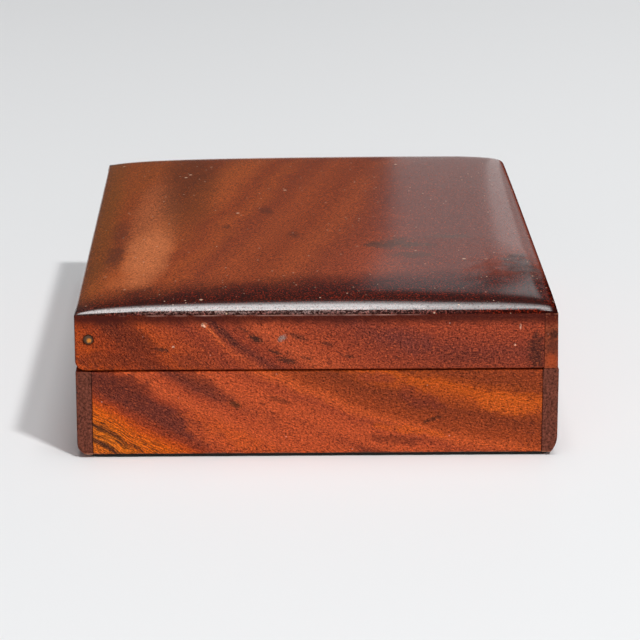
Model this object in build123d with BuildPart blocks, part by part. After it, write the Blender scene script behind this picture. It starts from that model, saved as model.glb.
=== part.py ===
from build123d import *
from math import cos, pi, radians, sin
import os

# A trinket box in mahogany with a pillow-shaped lid, which turns on two brass pins.
# Millimetres. X runs from the hinge side to the opening side, Y along the box, Z up.
# The origin is on the surface that the box stands on, under the middle of the closed box.

# Overall sizes
box_width = 115.2
box_length = 160.0
base_wall_height = 20.6
lid_wall_height = 13.55

# Boards and their joints
board_thickness = 6.4
base_corner_lip = 3.7
lid_corner_lip = 3.3
bottom_thickness = 3.2
baize_thickness = 0.8
baize_margin = 0.5
baize_corner = 1.0

# Room between the base and the lid
lid_gap = 0.4
front_seat_gap = 0.1
base_back_setback = 0.05
base_front_overhang = 0.2
tongue_end_clearance = 0.3
tongue_top_clearance = 0.3

# Hinge pins, driven through the lid's ends into the tongue of the back board
pin_below_seam = 5.95
pin_diameter = 1.6
pin_grip = 8.0
pin_head_diameter = 2.4
pin_head_thickness = 0.45
pin_head_arris = 0.2
pin_head_recess = 0.5
pin_running_clearance = 0.05
pin_head_clearance = 0.15
lid_swing_round = 2.4

# Rounded feet, and the fine arrises that take the sharpness off the edges
back_foot_width = 2.2
back_foot_height = 2.8
front_foot_width = 1.5
front_foot_height = 4.2
upright_arris = 0.3
end_arris = 0.35
rim_arris = 0.25
lid_front_lean = 0.25

# Pillow: each shoulder is an elliptical round-over, and each crown is the gentle slope above it
pillow_edge = 0.4
pillow_rise = 4.65
back_shoulder = 50.0
back_crown = 34.0
front_shoulder = 6.0
front_crown = 8.0
end_shoulder = 14.0
end_crown = 40.0
crown_power = 8
pillow_first_turn = radians(9)
pillow_steps = 12
pillow_accuracy = 0.001

# Heights
base_bottom = baize_thickness
base_rim = base_bottom + base_wall_height
lid_bottom = base_rim + lid_gap
seam = lid_bottom + lid_wall_height
pin_height = seam - pin_below_seam
tongue_top = seam - tongue_top_clearance

# Faces across the box
lid_back = -box_width / 2
base_back = lid_back + base_back_setback
base_front = box_width / 2
lid_front = base_front - base_front_overhang
seam_front = lid_front - lid_front_lean
half_length = box_length / 2
inner_half_length = half_length - board_thickness
tongue_half_length = inner_half_length - tongue_end_clearance
tongue_round = board_thickness / 2
pin_x = base_back + board_thickness / 2

# The bottom panel reaches as far under the walls as their corner rebates
panel_width = base_front - base_back - 2 * base_corner_lip
panel_length = box_length - 2 * base_corner_lip
base_middle = (base_front + base_back) / 2

os.makedirs("parts", exist_ok=True)
ends = {"left": -1, "right": 1}


def save(part, label):
    """Names a finished piece and writes it to its own file."""
    part.label = label
    export_step(part, f"parts/{label}.step")


def wall_plane(outer_face, inward, height):
    """A plane across a long wall: its x leads into the box and its y leads up."""
    return Plane(origin=(outer_face, 0, height), x_dir=(inward, 0, 0), z_dir=(0, -inward, 0))


def pillow_side(edge, inward, shoulder, crown):
    """Places across one side of the pillow, from its edge, each with its share of the full rise."""
    side = []
    for step in range(pillow_steps + 1):
        turn = pillow_first_turn + (pi / 2 - pillow_first_turn) * step / pillow_steps
        inset = shoulder * (cos(pillow_first_turn) - cos(turn)) + crown * sin(turn) ** crown_power
        side.append((edge + inward * inset, sin(turn)))
    return side


# Bottom panel, in a seat cut out of all four walls
with BuildPart() as bottom_panel:
    with BuildSketch(Plane.XY.offset(base_bottom)):
        with Locations((base_middle, 0)):
            Rectangle(panel_width, panel_length)
    extrude(amount=bottom_thickness)
save(bottom_panel.part, "bottom_panel")

# Baize glued over the flat of the underside, inside the rounded feet
baize_back = base_back + back_foot_width
baize_front = base_front - front_foot_width
with BuildPart() as base_baize:
    with BuildSketch(Plane.XY):
        with Locations(((baize_back + baize_front) / 2, 0)):
            RectangleRounded(baize_front - baize_back, box_length - 2 * baize_margin, baize_corner)
    extrude(amount=baize_thickness)
save(base_baize.part, "base_baize")

# The room that the two end boards fill between the lips of the long walls
with BuildPart() as end_board_room:
    with BuildSketch(Plane.XY.offset(base_bottom)):
        with Locations(*[(base_middle, end * (half_length - board_thickness / 2)) for end in ends.values()]):
            Rectangle(panel_width, board_thickness)
    extrude(amount=base_wall_height + lid_gap)


def base_end_board(end):
    """One short wall of the base, with a fine arris along its foot and its rim."""
    outer_face = end * half_length
    with BuildPart() as board:
        with BuildSketch(Plane.XY.offset(base_bottom)):
            with Locations((base_middle, outer_face - end * board_thickness / 2)):
                Rectangle(panel_width, board_thickness)
        extrude(amount=base_wall_height)
        outer_edges = board.edges().filter_by(Axis.X).group_by(Axis.Y)[-1 if end > 0 else 0]
        chamfer(outer_edges.sort_by(Axis.Z)[0], end_arris)
        chamfer(board.edges().filter_by(Axis.X).group_by(Axis.Z)[-1], rim_arris)
        add(bottom_panel.part, mode=Mode.SUBTRACT)
    return board.part


for name, end in ends.items():
    save(base_end_board(end), f"{name}_end_board")


def base_long_wall(outer_face, inward, height, foot_width, foot_height):
    """One long wall of the base, with a rounded foot and ends rebated for the end boards."""
    section = wall_plane(outer_face, inward, base_bottom)
    with BuildPart() as wall:
        with BuildSketch(section):
            Rectangle(board_thickness, height, align=(Align.MIN, Align.MIN))
        extrude(amount=half_length, both=True)
        chamfer(wall.edges().filter_by(Axis.Z).group_by(Axis.X)[0 if inward > 0 else -1], upright_arris)
        with BuildSketch(section):
            with BuildLine():
                foot = TangentArc((0, foot_height), (foot_width, 0), tangent=(0, -1))
                Polyline(foot @ 1, (board_thickness, 0), (board_thickness, height), (0, height), foot @ 0)
            make_face()
        extrude(amount=half_length, both=True, mode=Mode.INTERSECT)
        add(end_board_room.part, mode=Mode.SUBTRACT)
        add(bottom_panel.part, mode=Mode.SUBTRACT)
    return wall.part


# Back board, whose tongue stands up inside the lid and takes the two pins in its end grain
with BuildPart() as back_board:
    add(base_long_wall(base_back, 1, base_wall_height, back_foot_width, back_foot_height))
    with BuildSketch(wall_plane(base_back, 1, base_rim)) as tongue_section:
        Rectangle(board_thickness, tongue_top - base_rim, align=(Align.MIN, Align.MIN))
        tongue_corners = tongue_section.vertices().group_by(Axis.Y)[-1].sort_by(Axis.X)
        fillet(tongue_corners[0], tongue_round)
        fillet(tongue_corners[-1], rim_arris)
    extrude(amount=tongue_half_length, both=True)
    for end in ends.values():
        with BuildSketch(Plane.XZ.offset(-end * tongue_half_length)):
            with Locations((pin_x, pin_height)):
                Circle(pin_diameter / 2)
        extrude(amount=end * pin_grip, mode=Mode.SUBTRACT)
save(back_board.part, "back_board")

# Front board: it stands a hair higher than the ends, and the lid's front rail comes down on it
with BuildPart() as front_board:
    front_height = base_wall_height + lid_gap - front_seat_gap
    add(base_long_wall(base_front, -1, front_height, front_foot_width, front_foot_height))
    chamfer(front_board.edges().filter_by(Axis.Y).group_by(Axis.Z)[-1].sort_by(Axis.X)[-1], rim_arris)
save(front_board.part, "front_board")


def hinge_pin(end):
    """One headed brass pin, tight in the tongue and free in the lid's end rail."""
    head_seat = half_length - pin_head_recess
    with BuildPart() as pin:
        with BuildSketch(Plane.XZ.offset(-end * head_seat)):
            with Locations((pin_x, pin_height)):
                Circle(pin_diameter / 2)
        extrude(amount=end * (head_seat - tongue_half_length + pin_grip))
        with BuildSketch(Plane.XZ.offset(-end * head_seat)):
            with Locations((pin_x, pin_height)):
                Circle(pin_head_diameter / 2)
        extrude(amount=-end * pin_head_thickness)
        chamfer(pin.edges().sort_by(Axis.Y)[-1 if end > 0 else 0], pin_head_arris)
    return pin.part


for name, end in ends.items():
    save(hinge_pin(end), f"{name}_hinge_pin")


def lid_end_rail(end):
    """One short wall of the lid, run through to the back and rounded there to swing clear."""
    outer_face = end * half_length
    rail_front = lid_front - lid_corner_lip
    running_radius = pin_diameter / 2 + pin_running_clearance
    recess_radius = pin_head_diameter / 2 + pin_head_clearance
    with BuildPart() as rail:
        with BuildSketch(Plane.XZ.offset(-outer_face)) as rail_face:
            with BuildLine():
                Polyline(
                    (lid_back, lid_bottom),
                    (rail_front, lid_bottom),
                    (rail_front, seam),
                    (lid_back, seam),
                    close=True,
                )
            make_face()
            fillet(rail_face.vertices().group_by(Axis.Y)[0].sort_by(Axis.X)[0], lid_swing_round)
            with Locations((pin_x, pin_height)):
                Circle(running_radius, mode=Mode.SUBTRACT)
        extrude(amount=end * board_thickness)
        with BuildSketch(Plane.XZ.offset(-outer_face)):
            with Locations((pin_x, pin_height)):
                Circle(recess_radius)
        extrude(amount=end * pin_head_recess, mode=Mode.SUBTRACT)
        back_upright = rail.edges().filter_by(Axis.Z).group_by(Axis.X)[0]
        chamfer(back_upright.sort_by(Axis.Y)[-1 if end > 0 else 0], upright_arris)
    return rail.part


for name, end in ends.items():
    save(lid_end_rail(end), f"lid_{name}_rail")

# The lid's front rail leans in a little, and its ends are rebated for the end rails
with BuildPart() as lid_front_rail:
    with BuildSketch(wall_plane(lid_front, -1, lid_bottom)):
        with BuildLine():
            Polyline(
                (0, 0),
                (board_thickness, 0),
                (board_thickness, lid_wall_height),
                (lid_front_lean, lid_wall_height),
                close=True,
            )
        make_face()
    extrude(amount=half_length, both=True)
    outer_uprights = lid_front_rail.edges().filter_by(Axis.Y, reverse=True).group_by(Axis.X)[-1]
    chamfer(outer_uprights, upright_arris)
    chamfer(lid_front_rail.edges().filter_by(Axis.Y).group_by(Axis.Z)[0], rim_arris)
    rebate_depth = board_thickness - lid_corner_lip
    with BuildSketch(Plane.XY.offset(lid_bottom)):
        rebate_middle = lid_front - lid_corner_lip - rebate_depth / 2
        with Locations(*[(rebate_middle, end * (half_length - board_thickness / 2)) for end in ends.values()]):
            Rectangle(rebate_depth, board_thickness)
    extrude(amount=lid_wall_height, mode=Mode.SUBTRACT)
save(lid_front_rail.part, "lid_front_rail")

# Pillow top: its surface goes through a net of points, whose rises across and along the lid multiply
pillow_back = pillow_side(lid_back, 1, back_shoulder, back_crown)
pillow_front = pillow_side(seam_front, -1, front_shoulder, front_crown)
pillow_left = pillow_side(-half_length, 1, end_shoulder, end_crown)
pillow_right = pillow_side(half_length, -1, end_shoulder, end_crown)
pillow_foot = seam + pillow_edge
pillow_net = [
    [
        Vector(x, y, pillow_foot + pillow_rise * x_rise * y_rise)
        for y, y_rise in pillow_left + pillow_right[::-1]
    ]
    for x, x_rise in pillow_back + pillow_front[::-1]
]
pillow = Face.make_surface_from_array_of_points(pillow_net, tol=pillow_accuracy, min_deg=3)
with BuildPart() as lid_top:
    extrude(pillow, amount=2 * (pillow_edge + pillow_rise), dir=(0, 0, -1))
    split(bisect_by=Plane.XY.offset(seam), keep=Keep.TOP)
save(lid_top.part, "lid_top")
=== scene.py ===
import logging
import math
from collections.abc import Iterator
from contextlib import contextmanager
from dataclasses import dataclass
from enum import Enum
from typing import Union

import bpy
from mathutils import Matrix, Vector


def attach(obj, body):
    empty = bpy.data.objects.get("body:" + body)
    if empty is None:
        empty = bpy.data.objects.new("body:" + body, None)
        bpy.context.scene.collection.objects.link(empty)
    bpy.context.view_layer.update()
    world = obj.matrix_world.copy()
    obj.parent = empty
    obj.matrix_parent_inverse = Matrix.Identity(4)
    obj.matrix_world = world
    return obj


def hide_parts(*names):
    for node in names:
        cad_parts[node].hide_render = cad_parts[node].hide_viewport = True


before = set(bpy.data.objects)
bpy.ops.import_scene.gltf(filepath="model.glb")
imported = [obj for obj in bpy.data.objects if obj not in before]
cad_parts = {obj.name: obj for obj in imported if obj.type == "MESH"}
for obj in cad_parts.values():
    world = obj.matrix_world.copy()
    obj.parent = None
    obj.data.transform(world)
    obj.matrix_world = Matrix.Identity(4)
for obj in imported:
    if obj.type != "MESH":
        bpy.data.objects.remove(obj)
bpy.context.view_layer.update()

# A mahogany trinket box: four base boards round a bottom panel, and a pillow-topped lid that turns on
# two brass pins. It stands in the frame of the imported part. The studio counts in metres, the pieces
# and their finishes in millimetres.

REPORT = logging.getLogger("trinket_box")
MM = 0.001

# Places from the middle of the box and up from what it stands on: the faces with end grain, the room
# inside with its bare wood, the seam and the foot of the dome on top, and the hinge pins.
END_GRAIN_X, END_GRAIN_Y = 57.48, 79.66
ROOM_X, ROOM_Y, ROOM_Z = 51.35, 73.85, 35.37
SEAM, DOME_FOOT = 35.35, 35.45
PIN_CENTRE = (-54.35, 29.4)

Rgba = tuple[float, float, float, float]
Value = Union["Wire", float, tuple]
Edge = tuple[float, float]  # where a mask turns, and over how much


def stain(*seen: int) -> Rgba:
    """Turns a colour as it is seen, in red, green and blue up to 255, into linear light."""
    shares = (value / 255 for value in seen)
    return (*(s / 12.92 if s <= 0.04045 else ((s + 0.055) / 1.055) ** 2.4 for s in shares), 1.0)


def banded(*rows: tuple[float, int, int, int]) -> tuple[tuple[float, Rgba], ...]:
    """Makes the bands of a figure from rows of a level and its red, green and blue."""
    return tuple((level, stain(*seen)) for level, *seen in rows)


class Body(Enum):
    """The two bodies of the box."""

    BASE = "base"
    LID = "lid"


class Grain(Enum):
    """Which way a board's length lies, as the axes along it, across it and through it."""

    END_BOARD = (0, 2, 1)
    LONG_BOARD = (1, 2, 0)
    FLAT_BOARD = (1, 0, 2)


class Wire:
    """An output of a node, whose arithmetic adds Math nodes to the same recipe."""

    def __init__(self, recipe: "Recipe", socket: bpy.types.NodeSocket) -> None:
        """Keeps an output and the recipe that its maths goes into."""
        self.recipe = recipe
        self.socket = socket

    def _maths(self, operation: str, *values: Value) -> "Wire":
        """Adds one Math node for wires or numbers, and gives its result."""
        return self.recipe.node("ShaderNodeMath", {"operation": operation}, dict(enumerate(values)))

    def __add__(self, other: Value) -> "Wire":
        """Adds."""
        return self._maths("ADD", self, other)

    __radd__ = __add__

    def __sub__(self, other: Value) -> "Wire":
        """Takes other away."""
        return self._maths("SUBTRACT", self, other)

    def __rsub__(self, other: Value) -> "Wire":
        """Takes this away from other."""
        return self._maths("SUBTRACT", other, self)

    def __mul__(self, other: Value) -> "Wire":
        """Multiplies."""
        return self._maths("MULTIPLY", self, other)

    __rmul__ = __mul__

    def __truediv__(self, other: Value) -> "Wire":
        """Divides."""
        return self._maths("DIVIDE", self, other)

    def size(self) -> "Wire":
        """Drops the sign."""
        return self._maths("ABSOLUTE", self)

    def root(self) -> "Wire":
        """Takes the square root."""
        return self._maths("SQRT", self)

    def least(self, other: Value) -> "Wire":
        """Keeps the smaller of the two."""
        return self._maths("MINIMUM", self, other)

    def most(self, other: Value) -> "Wire":
        """Keeps the larger of the two."""
        return self._maths("MAXIMUM", self, other)

    def above(self, edge: float, soft: float) -> "Wire":
        """Gives a mask that turns from 0 to 1 at an edge, over a width of soft."""
        values = {"Value": self, "From Min": edge - soft / 2, "From Max": edge + soft / 2}
        return self.recipe.node("ShaderNodeMapRange", {"interpolation_type": "SMOOTHSTEP"}, values)

    def below(self, edge: float, soft: float) -> "Wire":
        """Gives a mask that turns from 1 to 0 at an edge, over a width of soft."""
        return 1 - self.above(edge, soft)

    def near(self, place: float, reach: float) -> "Wire":
        """Gives a mask that is 1 at a place and falls to 0 at reach from it on both sides."""
        return (self - place).size().below(reach / 2, reach)


class Recipe:
    """The nodes of one finish."""

    def __init__(self, name: str) -> None:
        """Starts a material with its shader and its place in millimetres.

        Args:
            name: The finish's name.
        """
        self.material = bpy.data.materials.new(name)
        self.material.use_nodes = True
        self.tree = self.material.node_tree
        self.shader = self.tree.nodes["Principled BSDF"]
        place = self.node("ShaderNodeTexCoord", out="Object")
        self.place = self.scaled(place, 1 / MM)
        self.axes = tuple(self.part(self.place, axis) for axis in "XYZ")

    def node(
        self,
        kind: str,
        settings: dict[str, object] | None = None,
        values: dict[str | int, Value] | None = None,
        out: str | int = 0,
    ) -> Wire:
        """Adds a node of any type.

        Args:
            kind: The node's type.
            settings: Its settings, set first; a ramp's stops are (place, colour) pairs under "stops".
            values: The wire or value of each input, by name or number.
            out: The output that is wanted.

        Returns:
            That output.
        """
        made = self.tree.nodes.new(kind)
        for key, value in (settings or {}).items():
            if key == "stops":
                self.set_stops(made.color_ramp, value)
            else:
                setattr(made, key, value)
        self._plug(made, values or {})
        return Wire(self, made.outputs[out])

    def _plug(self, node: bpy.types.Node, values: dict[str | int, Value]) -> None:
        """Gives a node's inputs their wires and values.

        Args:
            node: The node.
            values: The wire or value of each input, by name or number.
        """
        for key, value in values.items():
            if isinstance(value, Wire):
                self.tree.links.new(value.socket, node.inputs[key])
            else:
                node.inputs[key].default_value = value

    @staticmethod
    def set_stops(ramp: bpy.types.ColorRamp, stops: list[tuple[float, Rgba]]) -> None:
        """Gives a ramp its stops.

        Args:
            ramp: The ramp.
            stops: Places from 0 to 1, each with its colour, in order.
        """
        while len(ramp.elements) < len(stops):
            ramp.elements.new(1.0)
        for element, (place, colour) in zip(ramp.elements, stops):
            element.position = place
            element.color = colour

    def part(self, vector: Wire, axis: str) -> Wire:
        """Takes one number, X, Y or Z, out of a vector."""
        return self.node("ShaderNodeSeparateXYZ", None, {0: vector}, axis)

    def joined(self, x: Value, y: Value, z: Value) -> Wire:
        """Makes a vector of three numbers."""
        return self.node("ShaderNodeCombineXYZ", None, {0: x, 1: y, 2: z})

    def scaled(self, vector: Value, scale: Value) -> Wire:
        """Makes a vector or a colour longer or brighter."""
        return self.node("ShaderNodeVectorMath", {"operation": "SCALE"}, {0: vector, "Scale": scale})

    def noise(self, at: Wire, scale: float, detail: float = 2.0, rough: float = 0.5) -> Wire:
        """Gives noise from 0 to 1, scale waves to the millimetre, with so many finer layers, so rough."""
        sizes = {"Vector": at, "Scale": scale, "Detail": detail, "Roughness": rough}
        return self.node("ShaderNodeTexNoise", None, sizes)

    def blend(self, share: Value, low: Value, high: Value) -> Wire:
        """Mixes two colours, with so large a share of the second."""
        return self.node("ShaderNodeMix", {"data_type": "RGBA"}, {0: share, 6: low, 7: high}, 2)

    def relief(self, height: Wire, strength: float, depth: float) -> Wire:
        """Gives the normal of a fine relief, so many millimetres deep."""
        sizes = {"Strength": strength, "Distance": depth * MM, "Height": height}
        return self.node("ShaderNodeBump", None, sizes)

    def spot(self, mark: "Mark", axes: str) -> Wire:
        """Gives the mask of a mark, an oval with a soft and ragged edge.

        Args:
            mark: Where it lies, how far it reaches and how it leans.
            axes: The two axes that its place and its reach are on.

        Returns:
            The mask, 1 at its middle.
        """
        first, second = (self.axes["XYZ".index(axis)] for axis in axes)
        aside, up = first - mark.centre[0], second - mark.centre[1]
        wide, high = aside / mark.reach[0], (up + aside * mark.lean) / mark.reach[1]
        far = wide * wide + high * high
        wave = self.noise(self.place, mark.wave, 3.0, 0.65) - 0.5
        return (far + wave * mark.ragged).below(0.65, mark.soft)

    def specks(self, spacing: float, radius: float, kept: float, seed: float = 0.0) -> Wire:
        """Gives a scatter of small round dots.

        Args:
            spacing: About how far apart they are, in millimetres.
            radius: How large each is, in millimetres.
            kept: The share of them that is left.
            seed: Moves the scatter, so that two of them differ.

        Returns:
            The mask of the dots.
        """
        at = self.node("ShaderNodeVectorMath", {"operation": "ADD"}, {0: self.place, 1: (seed,) * 3})
        sizes = {"Vector": at, "Scale": 1 / spacing}
        gap = self.node("ShaderNodeTexVoronoi", None, sizes, "Distance")
        chance = self.part(self.node("ShaderNodeTexVoronoi", None, sizes, "Color"), "X")
        return gap.below(radius / spacing, radius / spacing) * chance.below(kept, 0.01)

    def finish(self, values: dict[str, Value]) -> bpy.types.Material:
        """Sets the shader's own sockets and gives the finished material."""
        self._plug(self.shader, values)
        return self.material


@dataclass(frozen=True)
class Figure:
    """How a board's figure flows: its bands follow lines whose slope changes along the board.

    The bands are (level, colour) pairs, and a level is a height in millimetres at the board's middle.
    """

    bands: tuple[tuple[float, Rgba], ...]
    slope: float = 0.0
    bend: float = 0.0
    wander: float = 3.0
    streaks: float = 3.0
    broad_waves: float = 0.035
    narrow_waves: float = 0.16

    def level(self, recipe: Recipe, along: Wire, across: Wire) -> Wire:
        """Gives the level of the figure at each place.

        Args:
            recipe: The recipe that it goes into.
            along: The place along the board.
            across: The place across the board.

        Returns:
            The level, in millimetres.
        """
        broad = (recipe.noise(recipe.place, self.broad_waves, 1.0) - 0.5) * (2 * self.wander)
        narrow = (recipe.noise(recipe.place, self.narrow_waves, 1.0) - 0.5) * self.wander
        flow = across + along * (self.slope - along * self.bend)
        return flow + broad + narrow

    def colour(self, recipe: Recipe, level: Wire, streak: Wire) -> Wire:
        """Gives the colour of the figure.

        Args:
            recipe: The recipe that it goes into.
            level: The level of the figure.
            streak: Noise drawn out along the figure, from 0 to 1.

        Returns:
            The colour.
        """
        low, high = self.bands[0][0], self.bands[-1][0]
        at = (level + (streak - 0.5) * self.streaks - low) / (high - low)
        stops = [((place - low) / (high - low), tone) for place, tone in self.bands]
        return recipe.node("ShaderNodeValToRGB", {"stops": stops}, {0: at}, "Color")


@dataclass(frozen=True)
class Mark:
    """A stain, knot, chip or bruise that the wood has at one place, or a painted reflection or shade laid
    the same way.
    """

    centre: tuple[float, float]
    reach: tuple[float, float]
    colour: Rgba
    strength: float = 0.8
    lean: float = 0.0
    ragged: float = 3.6
    soft: float = 1.0
    wave: float = 1.5


@dataclass(frozen=True)
class Arris:
    """A pale line along a board's arris, at a height, from one place along it to another: a painted
    highlight where the eased edge catches light, patchy like wear.
    """

    height: float
    start: float = -90.0
    end: float = 90.0
    strength: float = 0.7
    colour: Rgba = stain(206, 146, 116)


class Wood(Recipe):
    """The recipe of a board: its directions, its noises, the mask of its bare side, its colour so far."""

    def __init__(self, name: str, grain: Grain, figure: Figure) -> None:
        """Starts the finish of a board with the colour of its figure.

        Args:
            name: The finish's name.
            grain: Which way the board lies.
            figure: How its figure flows.
        """
        super().__init__(name)
        self.along, self.across, self.deep = (self.axes[axis] for axis in grain.value)
        self.level = figure.level(self, self.along, self.across)
        self.fibre = self.drawn(self.level, (1.0, 3.1, 1.6), 3.0, 0.7)
        self.straight = self.drawn(self.across, (0.06, 1.7, 1.7), 4.0, 0.7)
        self.grit = self.noise(self.place, 2.3, 3.0, 0.85)
        x, y, z = self.axes
        self.inside = x.size().below(ROOM_X, 0.1) * y.size().below(ROOM_Y, 0.1) * z.below(ROOM_Z, 0.02)
        streak = self.drawn(self.level, (0.07, 0.9, 0.5), 5.0, 0.62)
        self.colour = figure.colour(self, self.level, streak)

    def drawn(self, across: Wire, scales: tuple[float, float, float], detail: float, rough: float) -> Wire:
        """Gives noise drawn out along the board, of so many waves a millimetre each way."""
        ways = zip((self.along, across, self.deep), scales)
        return self.noise(self.joined(*(way * scale for way, scale in ways)), 1.0, detail, rough)

    def over(self, share: Value, tone: Value) -> None:
        """Lays a tone over so large a share of the colour."""
        self.colour = self.blend(share, self.colour, tone)


@dataclass(frozen=True)
class Mahogany:
    """Varnished mahogany, with its figure, pores, end grain, painted highlights along its arrises and dirt
    in the joints.
    """

    name: str
    grain: Grain
    figure: Figure
    marks: tuple[Mark, ...] = ()
    end_marks: tuple[Mark, ...] = ()
    joints: tuple[float, ...] = ()
    joint_dirt: float = 0.55
    arris_highlights: tuple[Arris, ...] = ()
    dark_top: float | None = None
    open_below: float | None = None
    pores: float = 0.5
    fibres: float = 0.5
    grit: float = 0.5
    fleck_glint: Rgba = stain(224, 104, 44)
    end_grain: Rgba = stain(104, 54, 40)
    bare: Rgba = stain(150, 92, 58)
    bare_pore: Rgba = stain(84, 46, 28)
    pore: Rgba = stain(62, 26, 18)
    groove: Rgba = stain(60, 34, 18)
    dirt: Rgba = stain(34, 14, 10)
    shade: Rgba = stain(62, 14, 6)
    lint: Rgba = stain(212, 184, 168)
    mark_axes: str = "XZ"
    dirt_width: float = 0.34
    arris_width: float = 0.3
    arris_fade: float = 9.0
    shade_fade: float = 2.4
    dust: float = 0.25
    dust_spacing: float = 2.6
    dust_size: float = 0.13
    depth: float = 0.9
    gloss: float = 0.12
    relief: float = 0.12
    relief_depth: float = 0.02
    roughness: float = 0.38
    bare_roughness: float = 0.3
    varnish: float = 0.2

    def make(self) -> bpy.types.Material:
        """Builds the finish.

        Returns:
            The material.
        """
        wood = Wood(self.name, self.grain, self.figure)
        self._mark(wood, self.marks)
        self._bring_out(wood)
        self._open_pores(wood)
        self._cut_ends(wood)
        self._mark(wood, self.end_marks)
        wood.over(wood.inside, self._bare_wood(wood))
        self._age(wood)
        height = (wood.fibre * 0.35 + wood.grit * 0.65) * (1 - wood.inside) + wood.straight * wood.inside
        return wood.finish({
            "Base Color": wood.colour,
            "Roughness": self.roughness + wood.inside * self.bare_roughness,
            "Coat Weight": self._coat(wood),
            "Coat Roughness": self.varnish,
            "Coat IOR": 1.7,
            "Specular IOR Level": 0.0,
            "Normal": wood.relief(height, self.relief, self.relief_depth),
        })

    def _mark(self, wood: Wood, marks: tuple[Mark, ...]) -> None:
        """Adds marks with ragged edges.

        Args:
            wood: The wood.
            marks: The marks, in order.
        """
        ragged = 0.35 + wood.grit * 1.3
        for mark in marks:
            share = wood.spot(mark, self.mark_axes) * ragged * mark.strength
            wood.over(share.least(1.0), mark.colour)

    def _bring_out(self, wood: Wood) -> None:
        """Adds the fine light and dark of fibres and varnished grain, with bright flecks that are partly
        lighter fibres and partly painted glints.

        Args:
            wood: The wood.
        """
        fibre, grit = wood.fibre - 0.5, wood.grit - 0.5
        bright = self.depth + fibre * (3.6 * self.fibres) + grit * (7.2 * self.grit)
        wood.colour = wood.scaled(wood.colour, bright.most(0.08))
        # Bright orange flecks where fibre and grit run high: the grain's lighter fibres, painted brighter
        # as glints in the varnish.
        fleck_glint = (wood.grit * 0.5 + wood.fibre * 0.5).above(0.6, 0.16) * self.grit
        wood.over(fleck_glint, self.fleck_glint)

    def _open_pores(self, wood: Wood) -> None:
        """Adds the open pores, short dark dashes along the figure, and grooves where it is bare of varnish.

        Args:
            wood: The wood.
        """
        pore = wood.drawn(wood.level, (0.5, 1.9, 2.0), 2.0, 0.6).below(0.37, 0.09)
        wood.over(pore * self.pores, self.pore)
        if self.open_below is not None:
            groove = wood.drawn(wood.level, (0.2, 3.1, 0.0), 4.0, 0.8).below(0.48, 0.06)
            wood.over(groove * wood.level.below(self.open_below, 4.0) * 0.85, self.groove)

    def _cut_ends(self, wood: Wood) -> None:
        """Adds the end grain of a board that runs through to a corner.

        Args:
            wood: The wood.
        """
        x, y, z = wood.axes
        if self.grain is Grain.LONG_BOARD:
            out = y.size().above(END_GRAIN_Y, 0.06)
        elif self.grain is Grain.END_BOARD:
            out = x.size().above(END_GRAIN_X, 0.05)
        else:
            return
        rings = wood.noise(wood.joined(x * 1.3, y * 1.3, z * 0.35), 1.0, 4.0, 0.65)
        fleck = wood.noise(wood.place, 1.7, 3.0, 0.75)
        bright = (1.0 + (rings - 0.5) * 1.8 + (fleck - 0.5) * 4.5).most(0.15)
        wood.over(out, wood.scaled(self.end_grain[:3], bright))

    def _bare_wood(self, wood: Wood) -> Wire:
        """Gives the colour of bare planed wood, with straight grain along the board.

        Args:
            wood: The wood.

        Returns:
            The colour.
        """
        broad = wood.drawn(wood.across, (0.012, 0.22, 0.22), 4.0, 0.65)
        colour = wood.scaled(self.bare[:3], 0.1 + wood.straight * 0.8 + broad)
        pore = wood.drawn(wood.across, (0.22, 2.6, 2.6), 2.0, 0.6).below(0.38, 0.07)
        return wood.blend(pore * 0.5, colour, self.bare_pore)

    def _age(self, wood: Wood) -> None:
        """Adds dirt in the joints, painted shade in a band under the seam, painted highlights along the
        arrises, and dust.

        Args:
            wood: The wood.
        """
        x, _, z = wood.axes
        outside = 1 - wood.inside
        patchy = wood.noise(wood.place, 0.35, 2.0)
        for joint in self.joints:
            dirt = x.near(joint, self.dirt_width) * (patchy * 0.9 + self.joint_dirt)
            wood.over(dirt.least(1.0), self.dirt)
        # Painted shade: a darker band on the rail just below the seam, under the edge of the pillow top.
        if self.dark_top is not None:
            broken = (0.86 + (wood.grit - 0.5) * 5.0).most(0.2).least(0.97)
            wood.over((z + (patchy - 0.5) * 1.6).above(self.dark_top, self.shade_fade) * broken, self.shade)
        for arris in self.arris_highlights:
            # Painted highlight: a pale, patchy line where each arris catches light.
            begun = (wood.along + (patchy - 0.5) * 30).above(arris.start, self.arris_fade)
            arris_band = z.near(arris.height, self.arris_width) * (patchy * 2.4 - 0.75).most(0.0)
            worn = arris_band * begun * wood.along.below(arris.end, self.arris_fade) * outside
            wood.over((worn * arris.strength).least(0.8), arris.colour)
        wood.over(wood.specks(self.dust_spacing, self.dust_size, self.dust) * outside * 0.6, self.lint)

    def _coat(self, wood: Wood) -> Wire:
        """Gives how thick the varnish is."""
        return (1 - wood.inside) * self.gloss


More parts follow.
